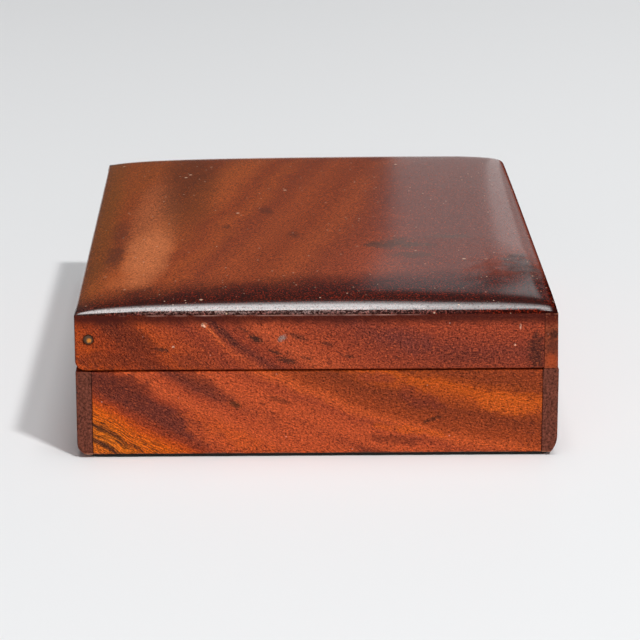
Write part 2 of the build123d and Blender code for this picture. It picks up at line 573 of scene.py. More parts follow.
@dataclass(frozen=True)
class Pillow(Mahogany):
    """The lid's top: the same wood, with painted shade on its shoulders, painted grey glints above the
    seam, and thin in its varnish.
    """

    # Colours of the painted shade on the shoulders and the opening-side edge, and of the grain's orange
    # specks in it.
    shoulder: Rgba = stain(30, 8, 7)
    speck_in_shade: Rgba = stain(150, 40, 16)
    grey_glint: Rgba = stain(168, 148, 142)
    lint: Rgba = stain(222, 184, 156)
    mark_axes: str = "XY"
    dull_corner: Mark = Mark((50.0, -66.0), (13.0, 27.0), shoulder, ragged=2.4, soft=1.8, wave=0.2)
    back: float = -57.6
    front: float = 57.2
    near_shade_edge: Edge = (62.6, 17.0)
    far_shade_edge: Edge = (77.0, 4.0)
    side_shade_edge: Edge = (56.2, 1.0)
    bare_edge: Edge = (55.4, 1.2)
    glint_middle: tuple[float, float] = (-10.0, 36.1)
    glint_reach: tuple[float, float] = (58.0, 1.1)

    def _age(self, wood: Wood) -> None:
        """Paints shade on the shoulders and the opening-side edge, paints grey glints on the near shoulder
        above the seam, and adds dust.

        Args:
            wood: The wood.
        """
        x, y, z = wood.axes
        outside = 1 - wood.inside
        patchy = wood.noise(wood.place, 0.1, 2.0)
        # Painted shade: the near shoulder darkens towards the near end and the far one at the far end, with
        # the grain's orange specks in it, thinned along the highlight strip; the opening-side edge is
        # darkened as well.
        near = (x * 0.14 - y + (patchy - 0.5) * 10).above(*self.near_shade_edge)
        lit = self._above_foot(wood, 1.9).near(0.0, 1.5)
        shoulder_shade_colour = wood.blend(wood.grit.above(0.575, 0.08) * (1 - lit * 0.75), self.shoulder, self.speck_in_shade)
        wood.over(near.most(y.above(*self.far_shade_edge)) * outside * 0.95, shoulder_shade_colour)
        wood.over(x.above(*self.side_shade_edge) * outside * 0.7, self.shoulder)
        # Painted highlight: pale grey glints scattered along the near shoulder just above the seam.
        (x_middle, z_middle), (x_reach, z_reach) = self.glint_middle, self.glint_reach
        glinting = z.near(z_middle, z_reach) * x.near(x_middle, x_reach) * (patchy * 1.6).least(1.0)
        wood.over(glinting * wood.grit.above(0.52, 0.1) * 0.8, self.grey_glint)
        coarse = wood.specks(6.4, 0.42, 0.4, 9.0) * wood.noise(wood.place, 0.05, 1.0).above(0.45, 0.2)
        fine = wood.specks(2.9, 0.2, self.dust).most(wood.specks(1.7, 0.15, 0.3, 4.0) * near)
        wood.over(coarse.most(fine * 0.8) * outside, self.lint)

    def _above_foot(self, wood: Wood, height: float) -> Wire:
        """Gives how far a place is above a line round the dome, which sinks to its foot at both sides.

        Args:
            wood: The wood.
            height: How high the line runs above the dome's foot, in millimetres.

        Returns:
            The distance, in millimetres.
        """
        x, _, z = wood.axes
        rise = ((x - self.back) * 0.06).least((self.front - x) * 0.2).least(1.0)
        return z - rise * height - DOME_FOOT

    def _coat(self, wood: Wood) -> Wire:
        """Gives how thick the varnish is, which has worn off the lid's edge and is pitted above it.

        Args:
            wood: The wood.

        Returns:
            The share of a full coat.
        """
        dull = wood.spot(self.dull_corner, self.mark_axes) * self._above_foot(wood, 3.2).above(0.0, 0.8)
        worn_edge = wood.axes[0].above(*self.bare_edge)
        pits = wood.noise(wood.place, 2.1, 2.0, 0.7).below(0.4, 0.12) * 0.45
        whole = self._above_foot(wood, 0.9).above(0.0, 0.4) * (1 - worn_edge) * (1 - pits)
        return (1 - wood.inside) * whole * (1 - dull * 0.8) * self.gloss


@dataclass(frozen=True)
class Brass:
    """Old brass, brown round its rim, with bright brass painted a little aside of its centre, where the
    domed head shows its highlight: a painted highlight.
    """

    name: str
    aside: tuple[float, float] = (0.2, -0.14)
    bright: Rgba = stain(214, 134, 58)
    tarnish: Rgba = stain(72, 54, 42)
    highlight_radius: float = 0.55

    def make(self) -> bpy.types.Material:
        """Builds the finish.

        Returns:
            The material.
        """
        recipe = Recipe(self.name)
        x, _, z = recipe.axes
        # Painted highlight: the bright brass is centred a little aside of the pin's centre, where the domed
        # head catches the light.
        off = (x - PIN_CENTRE[0] - self.aside[0]), (z - PIN_CENTRE[1] - self.aside[1])
        radius = (off[0] * off[0] + off[1] * off[1]).root()
        grit = recipe.noise(recipe.place, 2.4, 3.0, 0.7)
        brown = (radius + (grit - 0.5) * 0.9).above(self.highlight_radius, 0.45)
        colour = recipe.blend(brown * 0.95, self.bright, self.tarnish)
        colour = recipe.scaled(colour, 0.7 + grit * 0.6)
        return recipe.finish({
            "Base Color": colour,
            "Metallic": 1 - brown * 0.6,
            "Roughness": 0.36 + brown * 0.3,
            "Normal": recipe.relief(grit, 0.3, 0.02),
        })


@dataclass(frozen=True)
class Baize:
    """Dark woollen baize, napped and a little dusty; its near-black colour also stands in for painted
    contact shadow along its edge under the base.
    """

    name: str
    # Near black: the baize's own dark colour and painted contact shadow under the base.
    colour: Rgba = stain(15, 17, 15)
    fluff: Rgba = stain(46, 51, 46)
    lint: Rgba = stain(120, 118, 112)

    def make(self) -> bpy.types.Material:
        """Builds the finish.

        Returns:
            The material.
        """
        recipe = Recipe(self.name)
        nap = recipe.noise(recipe.place, 3.2, 4.0, 0.75)
        worn = recipe.noise(recipe.place, 0.09, 2.0)
        lint = recipe.specks(3.4, 0.2, 0.3)
        colour = recipe.blend(nap.above(0.56, 0.25) * 0.55, self.colour, self.fluff)
        colour = recipe.scaled(colour, 0.7 + worn * 0.6)
        colour = recipe.blend(lint * 0.4, colour, self.lint)
        return recipe.finish({
            "Base Color": colour,
            "Roughness": 0.96,
            "Sheen Weight": 0.12,
            "Sheen Roughness": 0.5,
            "Normal": recipe.relief(nap, 0.8, 0.12),
        })


@dataclass(frozen=True)
class PaleFloor:
    """The plain pale ground of the studio."""

    name: str
    colour: Rgba = stain(231, 232, 233)

    def make(self) -> bpy.types.Material:
        """Builds the finish."""
        values = {"Base Color": self.colour, "Roughness": 0.55, "Specular IOR Level": 0.25}
        return Recipe(self.name).finish(values)


Finish = Union[Mahogany, Brass, Baize, PaleFloor]


class Bench:
    """Where a piece is shaped: selecting, editing and handing over, with the operators."""

    @staticmethod
    def clear() -> None:
        """Leaves nothing selected."""
        bpy.ops.object.select_all(action="DESELECT")

    @staticmethod
    def take(piece: bpy.types.Object) -> None:
        """Makes a piece the only one selected."""
        Bench.clear()
        piece.select_set(True)
        bpy.context.view_layer.objects.active = piece

    @staticmethod
    @contextmanager
    def editing(piece: bpy.types.Object) -> Iterator[None]:
        """Works on a piece in edit mode, with nothing of it selected at first.

        Args:
            piece: The piece.

        Yields:
            Nothing; the piece is back in object mode afterwards.
        """
        Bench.take(piece)
        bpy.ops.object.mode_set(mode="EDIT")
        bpy.ops.mesh.select_all(action="DESELECT")
        yield
        bpy.ops.object.mode_set(mode="OBJECT")

    @staticmethod
    def new_piece(name: str) -> bpy.types.Object:
        """Names the primitive that was just added, and puts its place into its mesh.

        Args:
            name: The piece's name.

        Returns:
            The piece.
        """
        piece = bpy.context.object
        piece.name = name
        piece.data.name = name
        bpy.ops.object.transform_apply(location=True, rotation=True, scale=True)
        return piece

    @staticmethod
    def new_grid(name: str, columns: int, rows: int, size: float = 2.0) -> bpy.types.Object:
        """Adds a flat grid round the origin.

        Args:
            name: The piece's name.
            columns: Its cells along X.
            rows: Its cells along Y.
            size: Its side.

        Returns:
            The grid.
        """
        Bench.clear()
        bpy.ops.mesh.primitive_grid_add(
            x_subdivisions=columns, y_subdivisions=rows, size=size, location=(0, 0, 0)
        )
        return Bench.new_piece(name)

    @staticmethod
    def turn_outward() -> None:
        """Turns the faces of the piece that is in edit mode outward."""
        bpy.ops.mesh.select_all(action="SELECT")
        bpy.ops.mesh.normals_make_consistent(inside=False)

    @staticmethod
    def modify(piece: bpy.types.Object, kind: str, settings: dict[str, object]) -> None:
        """Adds a modifier and applies it.

        Args:
            piece: The piece.
            kind: The modifier's type.
            settings: Its settings.
        """
        Bench.take(piece)
        modifier = piece.modifiers.new(kind.title(), kind)
        for key, value in settings.items():
            setattr(modifier, key, value)
        bpy.ops.object.modifier_apply(modifier=modifier.name)

    @staticmethod
    def smooth(piece: bpy.types.Object, degrees: float) -> None:
        """Shades a piece smooth, except over edges sharper than so many degrees."""
        Bench.take(piece)
        bpy.ops.object.shade_smooth_by_angle(angle=math.radians(degrees))


@dataclass
class Piece:
    """A piece of the visual model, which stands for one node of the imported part."""

    name: str
    node: str
    body: Body
    slot: str
    finish: Finish

    def build(self) -> bpy.types.Object:
        """Shapes the piece, which each kind of piece does in its own way."""
        raise NotImplementedError

    def dress(self) -> bpy.types.Object:
        """Builds the piece, finishes it, hides the node that it stands for, and says what it rides on.

        Returns:
            The dressed piece.
        """
        piece = self.build()
        piece.data.materials.clear()
        piece.data.materials.append(self.finish.make())
        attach(piece, self.body.value)
        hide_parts(self.node)
        REPORT.info("%s: %d faces, rides on %s", piece.name, len(piece.data.polygons), self.body.value)
        return piece


@dataclass
class Board(Piece):
    """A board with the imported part's own shape and its sharp edges eased by hand."""

    ease: float = 0.14
    merge_within: float = 0.002
    flat_within: float = 0.4
    ease_above: float = 40.0
    smooth_below: float = 50.0

    def build(self) -> bpy.types.Object:
        """Copies the node's shape, merges it and eases its edges.

        Returns:
            The board.
        """
        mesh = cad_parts[self.node].data.copy()
        piece = bpy.data.objects.new(self.name, mesh)
        bpy.context.scene.collection.objects.link(piece)
        with Bench.editing(piece):
            bpy.ops.mesh.select_all(action="SELECT")
            bpy.ops.mesh.remove_doubles(threshold=self.merge_within * MM)
            bpy.ops.mesh.dissolve_limited(angle_limit=math.radians(self.flat_within))
        easing = {"width": self.ease * MM, "segments": 2, "limit_method": "ANGLE"}
        Bench.modify(piece, "BEVEL", {**easing, "angle_limit": math.radians(self.ease_above)})
        Bench.smooth(piece, self.smooth_below)
        Bench.modify(piece, "WEIGHTED_NORMAL", {"weight": 100, "keep_sharp": True})
        return piece


@dataclass
class PillowTop(Piece):
    """The lid's top board, domed like a pillow, with an arris along its two short shoulders."""

    back: float = -57.6
    front: float = 57.15
    half_length: float = 80.0
    set_in: float = 0.12
    rise: float = 4.95
    back_shoulder: float = 50.0
    back_crown: float = 34.0
    front_shoulder: float = 6.0
    front_crown: float = 8.0
    end_shoulder: float = 14.0
    end_crown: float = 40.0
    crown_power: int = 8
    facet: tuple[float, float] = (11.0, 38.0)
    facet_share: float = 0.9
    facet_fade: float = 0.7
    least_shoulder: float = 0.12
    corner_wear: float = 0.2
    wear_from: tuple[float, float] = (0.0, -15.0)
    wear_to: tuple[float, float] = (55.0, -75.0)
    steps: int = 36
    flat_within: float = 0.05
    smooth_below: float = 38.0

    def _inset(self, turn: float, shoulder: float, crown: float) -> float:
        """Gives how far in from the edge a turn of the shoulder is, in millimetres."""
        return shoulder * (1 - math.cos(turn)) + crown * math.sin(turn) ** self.crown_power

    def _side(self, shoulder: float, crown: float, faceted: bool) -> list[tuple[float, float]]:
        """Gives the profile of one side.

        Args:
            shoulder: The width of its round-over.
            crown: The width of the gentle slope above it.
            faceted: Whether the round-over has been sanded to a narrow facet.

        Returns:
            Places in from the edge, each with its share of the full rise.
        """
        start, end = (math.radians(angle) for angle in self.facet)
        ends = [(self._inset(turn, shoulder, crown), math.sin(turn)) for turn in (start, end)]
        side = []
        for step in range(self.steps + 1):
            turn = math.pi / 2 * step / self.steps
            inset, share = self._inset(turn, shoulder, crown), math.sin(turn)
            if faceted and start < turn < end:
                way = (turn - start) / (end - start)
                flat = [low + (high - low) * way for low, high in zip(*ends)]
                flatness = self.facet_share * (1 - way**self.facet_fade)
                inset += (flat[0] - inset) * flatness
                share += (flat[1] - share) * flatness
            side.append((inset, share))
        return side

    def _wear(self, x: float, y: float) -> float:
        """Gives how far the dome is worn down towards its near corner on the opening side.

        Args:
            x: The place across the lid.
            y: The place along the lid.

        Returns:
            The share of its rise that is gone there.
        """
        wear = self.corner_wear
        for place, start, end in zip((x, y), self.wear_from, self.wear_to):
            share = min(max((place - start) / (end - start), 0.0), 1.0)
            wear *= share * share * (3 - 2 * share)
        return wear

    def _across(self) -> list[tuple[float, float]]:
        """Gives the profile across the lid, from the hinge side to the opening side.

        Returns:
            Places, each with its share of the full rise.
        """
        left = self._side(self.back_shoulder, self.back_crown, False)
        right = self._side(self.front_shoulder, self.front_crown, False)
        back, front = self.back + self.set_in, self.front - self.set_in
        return [(back + i, s) for i, s in left] + [(front - i, s) for i, s in right[::-1]]

    def _along(self) -> list[tuple[float, float]]:
        """Gives the profile along the lid, from the near end to the far end.

        Returns:
            Places, each with its share of the full rise.
        """
        side = self._side(self.end_shoulder, self.end_crown, True)
        end = self.half_length - self.set_in
        return [(i - end, s) for i, s in side] + [(end - i, s) for i, s in side[::-1]]

    def build(self) -> bpy.types.Object:
        """Domes a grid, then draws its outline down to a flat underside.

        Returns:
            The top board.
        """
        across, along = self._across(), self._along()
        columns, rows = len(across) - 1, len(along) - 1
        piece = Bench.new_grid(self.name, columns, rows)
        end = self.half_length - self.set_in
        for vertex in piece.data.vertices:
            x, x_rise = across[round((vertex.co.x + 1) / 2 * columns)]
            y, y_rise = along[round((vertex.co.y + 1) / 2 * rows)]
            inset = (end - abs(y)) * (max(self.least_shoulder, x_rise) if y < 0 else 1.0)
            rise = self.rise * x_rise * y_rise * (1 - self._wear(x, y))
            vertex.co = Vector((x, math.copysign(end - inset, y), DOME_FOOT + rise)) * MM
        with Bench.editing(piece):
            bpy.ops.mesh.select_all(action="SELECT")
            down = {"value": (0, 0, (SEAM - DOME_FOOT) * MM)}
            bpy.ops.mesh.extrude_region_move(TRANSFORM_OT_translate=down)
            bpy.ops.transform.resize(value=(1, 1, 0), center_override=(0, 0, SEAM * MM))
            bpy.ops.mesh.dissolve_limited(angle_limit=math.radians(self.flat_within))
            Bench.turn_outward()
        Bench.smooth(piece, self.smooth_below)
        return piece


@dataclass
class HingePin(Piece):
    """One brass pin with a low domed head, drawn out of a circle ring by ring."""

    end: int
    tip: float = 65.3
    head_seat: float = 79.5
    shank: float = 0.8
    head: float = 1.2
    rim: float = 0.12
    dome: float = 0.42
    dome_turns: tuple[int, ...] = (20, 40, 58, 74, 84)
    tip_taper: float = 0.3
    tip_share: float = 0.7
    sides: int = 40
    smooth_below: float = 40.0

    def _rings(self) -> list[tuple[float, float]]:
        """Gives the pin's rings from its tip to its crown.

        Returns:
            Places along the pin, each with the radius there.
        """
        rings = [(self.tip, self.shank * self.tip_share), (self.tip + self.tip_taper, self.shank)]
        rings += [(self.head_seat, wide) for wide in (self.shank, self.head)]
        rings.append((self.head_seat + self.rim, self.head))
        for turn in map(math.radians, self.dome_turns):
            rise = self.rim + (self.dome - self.rim) * math.sin(turn)
            rings.append((self.head_seat + rise, self.head * math.cos(turn)))
        return rings

    def build(self) -> bpy.types.Object:
        """Draws the rings out of the first one and closes both ends.

        Returns:
            The pin.
        """
        x, z = (value * MM for value in PIN_CENTRE)
        rings = self._rings()
        start, radius = rings[0]
        Bench.clear()
        bpy.ops.mesh.primitive_circle_add(
            vertices=self.sides,
            radius=radius * MM,
            fill_type="NGON",
            location=(x, self.end * start * MM, z),
            rotation=(math.pi / 2, 0, 0),
        )
        piece = Bench.new_piece(self.name)
        with Bench.editing(piece):
            bpy.ops.mesh.select_all(action="SELECT")
            for place, wide in rings[1:]:
                step = (0, self.end * (place - start) * MM, 0)
                bpy.ops.mesh.extrude_region_move(TRANSFORM_OT_translate={"value": step})
                middle = (x, self.end * place * MM, z)
                bpy.ops.transform.resize(value=(wide / radius,) * 3, center_override=middle)
                start, radius = place, wide
            Bench.turn_outward()
        Bench.smooth(piece, self.smooth_below)
        return piece


@dataclass
class BaizeSheet(Piece):
    """The baize glued under the base: one cut sheet with a slightly uneven edge."""

    size: tuple[float, float] = (111.45, 159.0)
    middle: float = 0.375
    thickness: float = 0.78
    top: float = 0.8
    corner: float = 1.0
    waver: float = 0.1
    waves: tuple[float, float] = (0.31, 0.83)
    cells: tuple[int, int] = (74, 106)
    smooth_below: float = 40.0

    def _cut(self, place: float, half: float, other: float, other_half: float) -> float:
        """Draws a point near the edge in by the rounding of the corner and the waver of the cut.

        Args:
            place: The point's place on this axis, from the sheet's middle.
            half: Half the sheet's size on this axis.
            other: Its place on the other axis.
            other_half: Half the sheet's size on the other axis.

        Returns:
            The place after the cut.
        """
        slow, quick = self.waves
        waver = self.waver * (1 - math.sin(other * slow) * math.cos(other * quick + half)) / 2
        past = max(0.0, abs(other) - other_half + self.corner)
        round_off = self.corner - math.sqrt(max(0.0, self.corner**2 - past**2))
        return place * (1 - (waver + round_off) / half)

    def build(self) -> bpy.types.Object:
        """Cuts a grid to its outline and gives it its thickness.

        Returns:
            The sheet.
        """
        piece = Bench.new_grid(self.name, *self.cells)
        half_width, half_length = (value / 2 for value in self.size)
        for vertex in piece.data.vertices:
            x, y = vertex.co.x * half_width, vertex.co.y * half_length
            cut_x = self._cut(x, half_width, y, half_length)
            cut_y = self._cut(y, half_length, x, half_width)
            vertex.co = Vector((cut_x + self.middle, cut_y, self.top)) * MM
        Bench.modify(piece, "SOLIDIFY", {"thickness": self.thickness * MM, "offset": -1.0})
        with Bench.editing(piece):
            Bench.turn_outward()
        Bench.smooth(piece, self.smooth_below)
        return piece

    def dress(self) -> bpy.types.Object:
        """Returns:
            The sheet.
        """
        piece = super().dress()
        return piece


# The wood's figure and its marks, written and then tuned against the photograph, patch by patch:
# each band has its level and its tone, and each mark its place, reach, colour, strength and lean. They
# are for the near end board of the base, the near rail of the lid, the end grain of the lid's front
# rail, and the pillow top.
BOARD_BANDS = banded(
    (-26.0, 226, 112, 34), (-22.2, 226, 112, 26), (-21.5, 78, 46, 28), (-21.1, 82, 46, 28),
    (-20.5, 230, 116, 24), (-18.3, 232, 116, 22), (-17.7, 88, 48, 22), (-17.3, 82, 44, 24),
    (-16.9, 232, 110, 18), (-13.6, 226, 98, 16), (-12.2, 188, 74, 20), (-10.4, 150, 58, 28),
    (-8.2, 112, 48, 34), (-4.6, 108, 46, 34), (-2.6, 160, 64, 34), (-0.6, 196, 84, 42),
    (2.4, 176, 72, 38), (4.6, 118, 50, 34), (6.0, 128, 54, 34), (8.0, 192, 82, 42),
    (11.0, 186, 78, 40), (13.4, 164, 68, 38), (15.8, 198, 86, 38), (18.0, 158, 66, 28),
    (22.6, 130, 54, 25), (25.6, 172, 73, 24), (28.2, 190, 82, 20), (30.6, 138, 58, 24),
    (36.0, 142, 58, 26),
)
TAN = stain(190, 80, 40)
BOARD_MARKS = (
    Mark((-7.0, 6.9), (16.0, 3.6), TAN, 0.9, 0.43, soft=1.7, wave=0.25),
    Mark((-2.0, 8.6), (18.0, 3.6), TAN, 0.5, 0.42, wave=0.12),
    Mark((-2.0, 2.6), (16.0, 2.6), TAN, 0.6, 0.2, wave=0.12),
    Mark((-19.0, 3.9), (12.0, 3.6), stain(206, 88, 36), 0.9, 0.45, soft=2.2, wave=0.3),
    Mark((-23.0, 2.6), (8.6, 2.8), stain(196, 82, 38), 0.8, 0.6, soft=2.2, wave=0.35),
    Mark((-43.0, 2.4), (3.6, 1.4), stain(222, 100, 18), 0.8, 0.6, wave=0.5),
    Mark((-46.5, 17.6), (8.0, 4.4), stain(104, 42, 28), 0.7, 0.2, wave=0.3),
    Mark((-29.0, 19.6), (6.0, 2.4), stain(104, 42, 28), 0.6, 0.4, wave=0.3),
    Mark((-9.0, 14.2), (3.2, 0.8), stain(70, 36, 22), 0.5, 0.3),
    Mark((-19.6, 13.2), (1.7, 0.8), stain(60, 36, 20), 0.8, 0.3),
    Mark((46.0, 12.6), (9.0, 3.0), stain(206, 92, 24), 0.65, 0.1, wave=0.25),
    Mark((21.0, 6.6), (9.0, 1.3), stain(206, 90, 26), 0.6, 0.16, wave=0.25),
    Mark((27.2, 9.1), (2.8, 0.55), stain(66, 34, 20), 0.75, -0.35),
    Mark((24.0, 14.6), (7.0, 2.6), stain(116, 46, 32), 0.55, 0.3, wave=0.3),
    Mark((18.0, 4.2), (9.0, 1.3), stain(104, 44, 26), 0.6, 0.1, wave=0.5),
    Mark((14.0, 20.0), (7.0, 1.6), stain(150, 62, 36), 0.7, 0.1, wave=0.4),
)

RAIL_BANDS = banded(
    (-32.0, 156, 60, 22), (-22.0, 172, 68, 20), (-15.0, 146, 54, 20), (-10.0, 118, 46, 24),
    (-6.0, 128, 48, 22), (-1.0, 174, 71, 28), (4.0, 162, 66, 32), (9.0, 140, 56, 34),
    (12.0, 160, 66, 36), (13.2, 168, 72, 40), (14.2, 140, 58, 36), (15.6, 108, 46, 34),
    (17.6, 144, 58, 36), (20.0, 150, 62, 36), (23.0, 184, 80, 44), (28.0, 164, 68, 38),
    (33.0, 146, 60, 36), (38.0, 128, 54, 38), (43.0, 156, 64, 38), (50.0, 132, 54, 34),
)
BLACK, GREY, PALE = stain(56, 34, 26), stain(150, 122, 112), stain(238, 186, 154)
RAIL_MARKS = (
    Mark((-26.8, 33.0), (0.8, 0.7), PALE, 1.3, 0.0, 1.2),
    Mark((-25.0, 31.2), (2.4, 0.7), stain(212, 98, 50), 0.9, 1.2, wave=0.8),
    Mark((-22.0, 27.4), (3.6, 0.8), stain(190, 82, 42), 0.6, 1.0, wave=0.8),
    Mark((-21.4, 30.2), (4.4, 1.2), stain(84, 38, 30), 0.7, 0.95, wave=0.6),
    Mark((-8.4, 29.6), (1.2, 0.9), GREY, 0.9, -0.4),
    Mark((-14.7, 29.5), (1.9, 0.9), BLACK, 0.9, 0.4),
    Mark((-10.2, 26.2), (1.8, 0.6), BLACK, 0.8, 0.3),
    Mark((-7.4, 24.1), (2.6, 0.8), BLACK, 0.8, 0.2),
    Mark((-4.6, 29.9), (2.8, 0.8), BLACK, 0.6, 0.3),
    Mark((-2.6, 24.6), (1.6, 0.5), BLACK, 0.6, 0.3),
    Mark((-17.6, 31.8), (1.6, 0.5), BLACK, 0.6, 0.3),
    Mark((-37.0, 26.9), (2.0, 0.6), BLACK, 0.8, 0.2),
    Mark((7.4, 25.0), (2.0, 0.5), BLACK, 0.6, 0.2),
    Mark((2.2, 28.2), (1.9, 0.6), BLACK, 0.6, 0.2),
    Mark((-34.2, 27.6), (0.35, 0.35), PALE, 0.9),
    Mark((48.2, 32.2), (0.3, 0.8), PALE, 0.6),
    Mark((47.0, 27.7), (0.3, 0.3), PALE, 0.6),
    Mark((21.0, 29.0), (8.0, 3.4), stain(108, 50, 44), 0.45, 0.1, wave=0.2),
    Mark((52.0, 26.2), (2.4, 5.6), stain(70, 34, 26), 0.8, wave=0.8),
    # Painted shade: this broad dark mark and the one at (-51.0, 24.4) darken the left end of the rail.
    Mark((-45.0, 31.0), (9.0, 3.4), stain(96, 36, 20), 0.6, 0.5, wave=0.3),
    Mark((-30.0, 23.8), (6.0, 2.2), stain(100, 40, 28), 0.5, 0.3, wave=0.3),
    Mark((-51.0, 24.4), (7.0, 2.6), stain(104, 40, 22), 0.6, 0.1, wave=0.3),
    Mark((36.0, 24.6), (9.0, 1.6), stain(100, 42, 30), 0.4, wave=0.3),
    Mark(PIN_CENTRE, (1.7, 1.6), stain(62, 34, 22), 0.7, ragged=1.6),
)
RAIL_END_MARKS = (
    Mark((56.2, 30.2), (1.5, 1.2), stain(50, 26, 20), 0.7, soft=1.6),
    Mark((55.9, 27.2), (1.7, 2.6), stain(84, 40, 28), 0.6),
    Mark((55.7, 23.6), (1.6, 2.1), stain(184, 76, 32), 0.6, soft=2.2, wave=2.2),
    Mark((55.6, 33.6), (1.8, 1.4), stain(96, 28, 12), 0.7),
)

TOP_BANDS = banded(
    (-57.0, 150, 72, 24), (-48.0, 142, 62, 22), (-42.0, 132, 58, 22), (-36.0, 164, 79, 32),
    (-30.0, 168, 80, 34), (-24.0, 142, 62, 28), (-19.0, 158, 73, 32), (-14.0, 136, 59, 30),
    (-8.0, 154, 70, 34), (0.0, 140, 61, 30), (7.0, 156, 72, 36), (15.0, 136, 60, 34),
    (25.0, 146, 64, 38), (37.0, 128, 57, 36), (57.0, 140, 62, 40),
)
BRUISE, ORANGE_REFLECTION = stain(64, 36, 26), stain(208, 120, 72)
TOP_MARKS = (
    # Painted reflections of the room in the varnished top, as broad soft marks: a mauve haze over the
    # opening side, orange patches by the hinge, a dark band and an olive band towards the hinge edge.
    Mark((44.0, 0.0), (30.0, 150.0), stain(96, 42, 34), 0.75, 0.0, 0.9, 1.0, 0.07),
    Mark((-41.6, -39.0), (6.6, 30.0), ORANGE_REFLECTION, 0.7, -0.8, 0.8, 1.3, 0.07),
    Mark((-41.4, -4.0), (7.4, 54.0), ORANGE_REFLECTION, 0.4, -0.8, 0.8, 1.3, 0.07),
    Mark((-46.0, -62.0), (5.6, 8.0), ORANGE_REFLECTION, 0.2, 0.0, 0.8, 1.3, 0.1),
    Mark((-33.0, 34.0), (9.0, 62.0), stain(96, 45, 14), 0.64, 0.0, 0.9, 1.3, 0.07),
    Mark((-57.0, 10.0), (7.0, 110.0), stain(120, 70, 20), 0.6, 0.0, 0.9, 1.3, 0.07),
    Mark((50.6, -50.0), (4.6, 11.0), stain(56, 44, 44), 0.85, wave=0.3),
    Mark((53.0, -66.0), (4.0, 13.0), stain(62, 44, 38), 0.7, soft=1.8, wave=0.3),
    Mark((-12.0, 4.6), (2.2, 4.0), BRUISE, 0.5, 0.6, soft=1.3, wave=0.6),
    Mark((-5.0, -21.6), (1.8, 4.4), BRUISE, 0.4, 0.6, soft=1.3, wave=0.6),
    Mark((-22.4, -11.4), (1.3, 2.2), BRUISE, 0.5, 0.6, wave=0.6),
    Mark((-50.0, -36.0), (2.4, 13.0), BRUISE, 0.5, 0.2, soft=1.4, wave=0.3),
    Mark((-50.0, -10.0), (2.4, 12.0), BRUISE, 0.35, 0.2, soft=1.4, wave=0.3),
    # Painted reflection: the dark left edge of the haze and greyish bands in it.
    Mark((21.0, -32.0), (9.0, 5.4), stain(70, 50, 40), 0.7, wave=0.25),
    Mark((24.0, -42.0), (7.0, 2.8), stain(70, 46, 36), 0.6, wave=0.3),
    Mark((34.0, -25.0), (8.0, 2.4), stain(80, 60, 50), 0.45, wave=0.3),
)


@dataclass
class Base:
    """The base: two end boards between two long boards, on a bottom panel with baize under it."""

    joints: tuple[float, float] = (-53.85, 53.9)
    foot_arris: float = 0.9

    def _near_end(self) -> Mahogany:
        """Gives the near end board its finish: bands that fall to the right, bright in the low corner.

        Returns:
            The finish.
        """
        figure = Figure(BOARD_BANDS, slope=0.38, bend=0.0019, wander=2.4, streaks=2.6)
        return Mahogany(
            "near_end_mahogany",
            Grain.END_BOARD,
            figure,
            BOARD_MARKS,
            joints=self.joints,
            joint_dirt=0.7,
            arris_highlights=(Arris(self.foot_arris, strength=0.5),),
            open_below=-13.4,
            fibres=0.8,
            grit=0.55,
        )

    def _far_end(self) -> Mahogany:
        """Gives the far end board its finish.

        Returns:
            The finish.
        """
        bands = banded(
            (-20.0, 150, 62, 36), (-8.0, 182, 78, 40), (2.0, 140, 58, 34), (10.0, 186, 80, 42),
            (17.0, 128, 54, 34), (24.0, 178, 76, 38), (34.0, 150, 62, 36),
        )
        figure = Figure(bands, slope=-0.3, bend=0.001, wander=3.0)
        # A painted highlight along the foot's arris.
        worn = (Arris(self.foot_arris),)
        return Mahogany("far_end_mahogany", Grain.END_BOARD, figure, joints=self.joints, arris_highlights=worn)

    def _long(self, name: str, slope: float) -> Mahogany:
        """Gives a long board its finish.

        Args:
            name: The finish's name.
            slope: How its figure leans.

        Returns:
            The finish.
        """
        dark, middle, light = stain(112, 48, 32), stain(156, 66, 38), stain(186, 80, 42)
        order = (middle, light, middle, dark, middle, light, dark, middle, light, middle)
        bands = tuple((-12.0 + 6.5 * place, tone) for place, tone in enumerate(order))
        figure = Figure(bands, slope=slope, bend=0.0009, wander=4.0, streaks=4.0)
        return Mahogany(name, Grain.LONG_BOARD, figure, arris_highlights=(Arris(self.foot_arris),))

    def dress(self) -> None:
        """Builds and dresses every piece of the base."""
        boards = (
            ("near_end_board", "left_end_board", self._near_end()),
            ("far_end_board", "right_end_board", self._far_end()),
            ("hinge_side_board", "back_board", self._long("hinge_side_mahogany", 0.12)),
            ("opening_side_board", "front_board", self._long("opening_mahogany", -0.16)),
        )
        for name, node, finish in boards:
            Board(name, node, Body.BASE, "base_mahogany", finish).dress()
        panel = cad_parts["bottom_panel"]
        panel.data.materials.clear()
        panel.data.materials.append(self._panel().make())
        REPORT.info("%s: finished as packed, rides on %s", panel.name, Body.BASE.value)
        baize = Baize("underside_baize")
        BaizeSheet(baize.name, "base_baize", Body.BASE, "baize", baize).dress()

    def _panel(self) -> Mahogany:
        """Gives the bottom panel its finish, bare wood all over.

        Returns:
            The finish.
        """
        bands = banded((-60.0, 150, 92, 58), (0.0, 128, 76, 48), (60.0, 156, 98, 62))
        figure = Figure(bands, slope=0.05, wander=5.0, streaks=14.0)
        return Mahogany("panel_mahogany", Grain.FLAT_BOARD, figure, grit=0.25, pores=0.4)


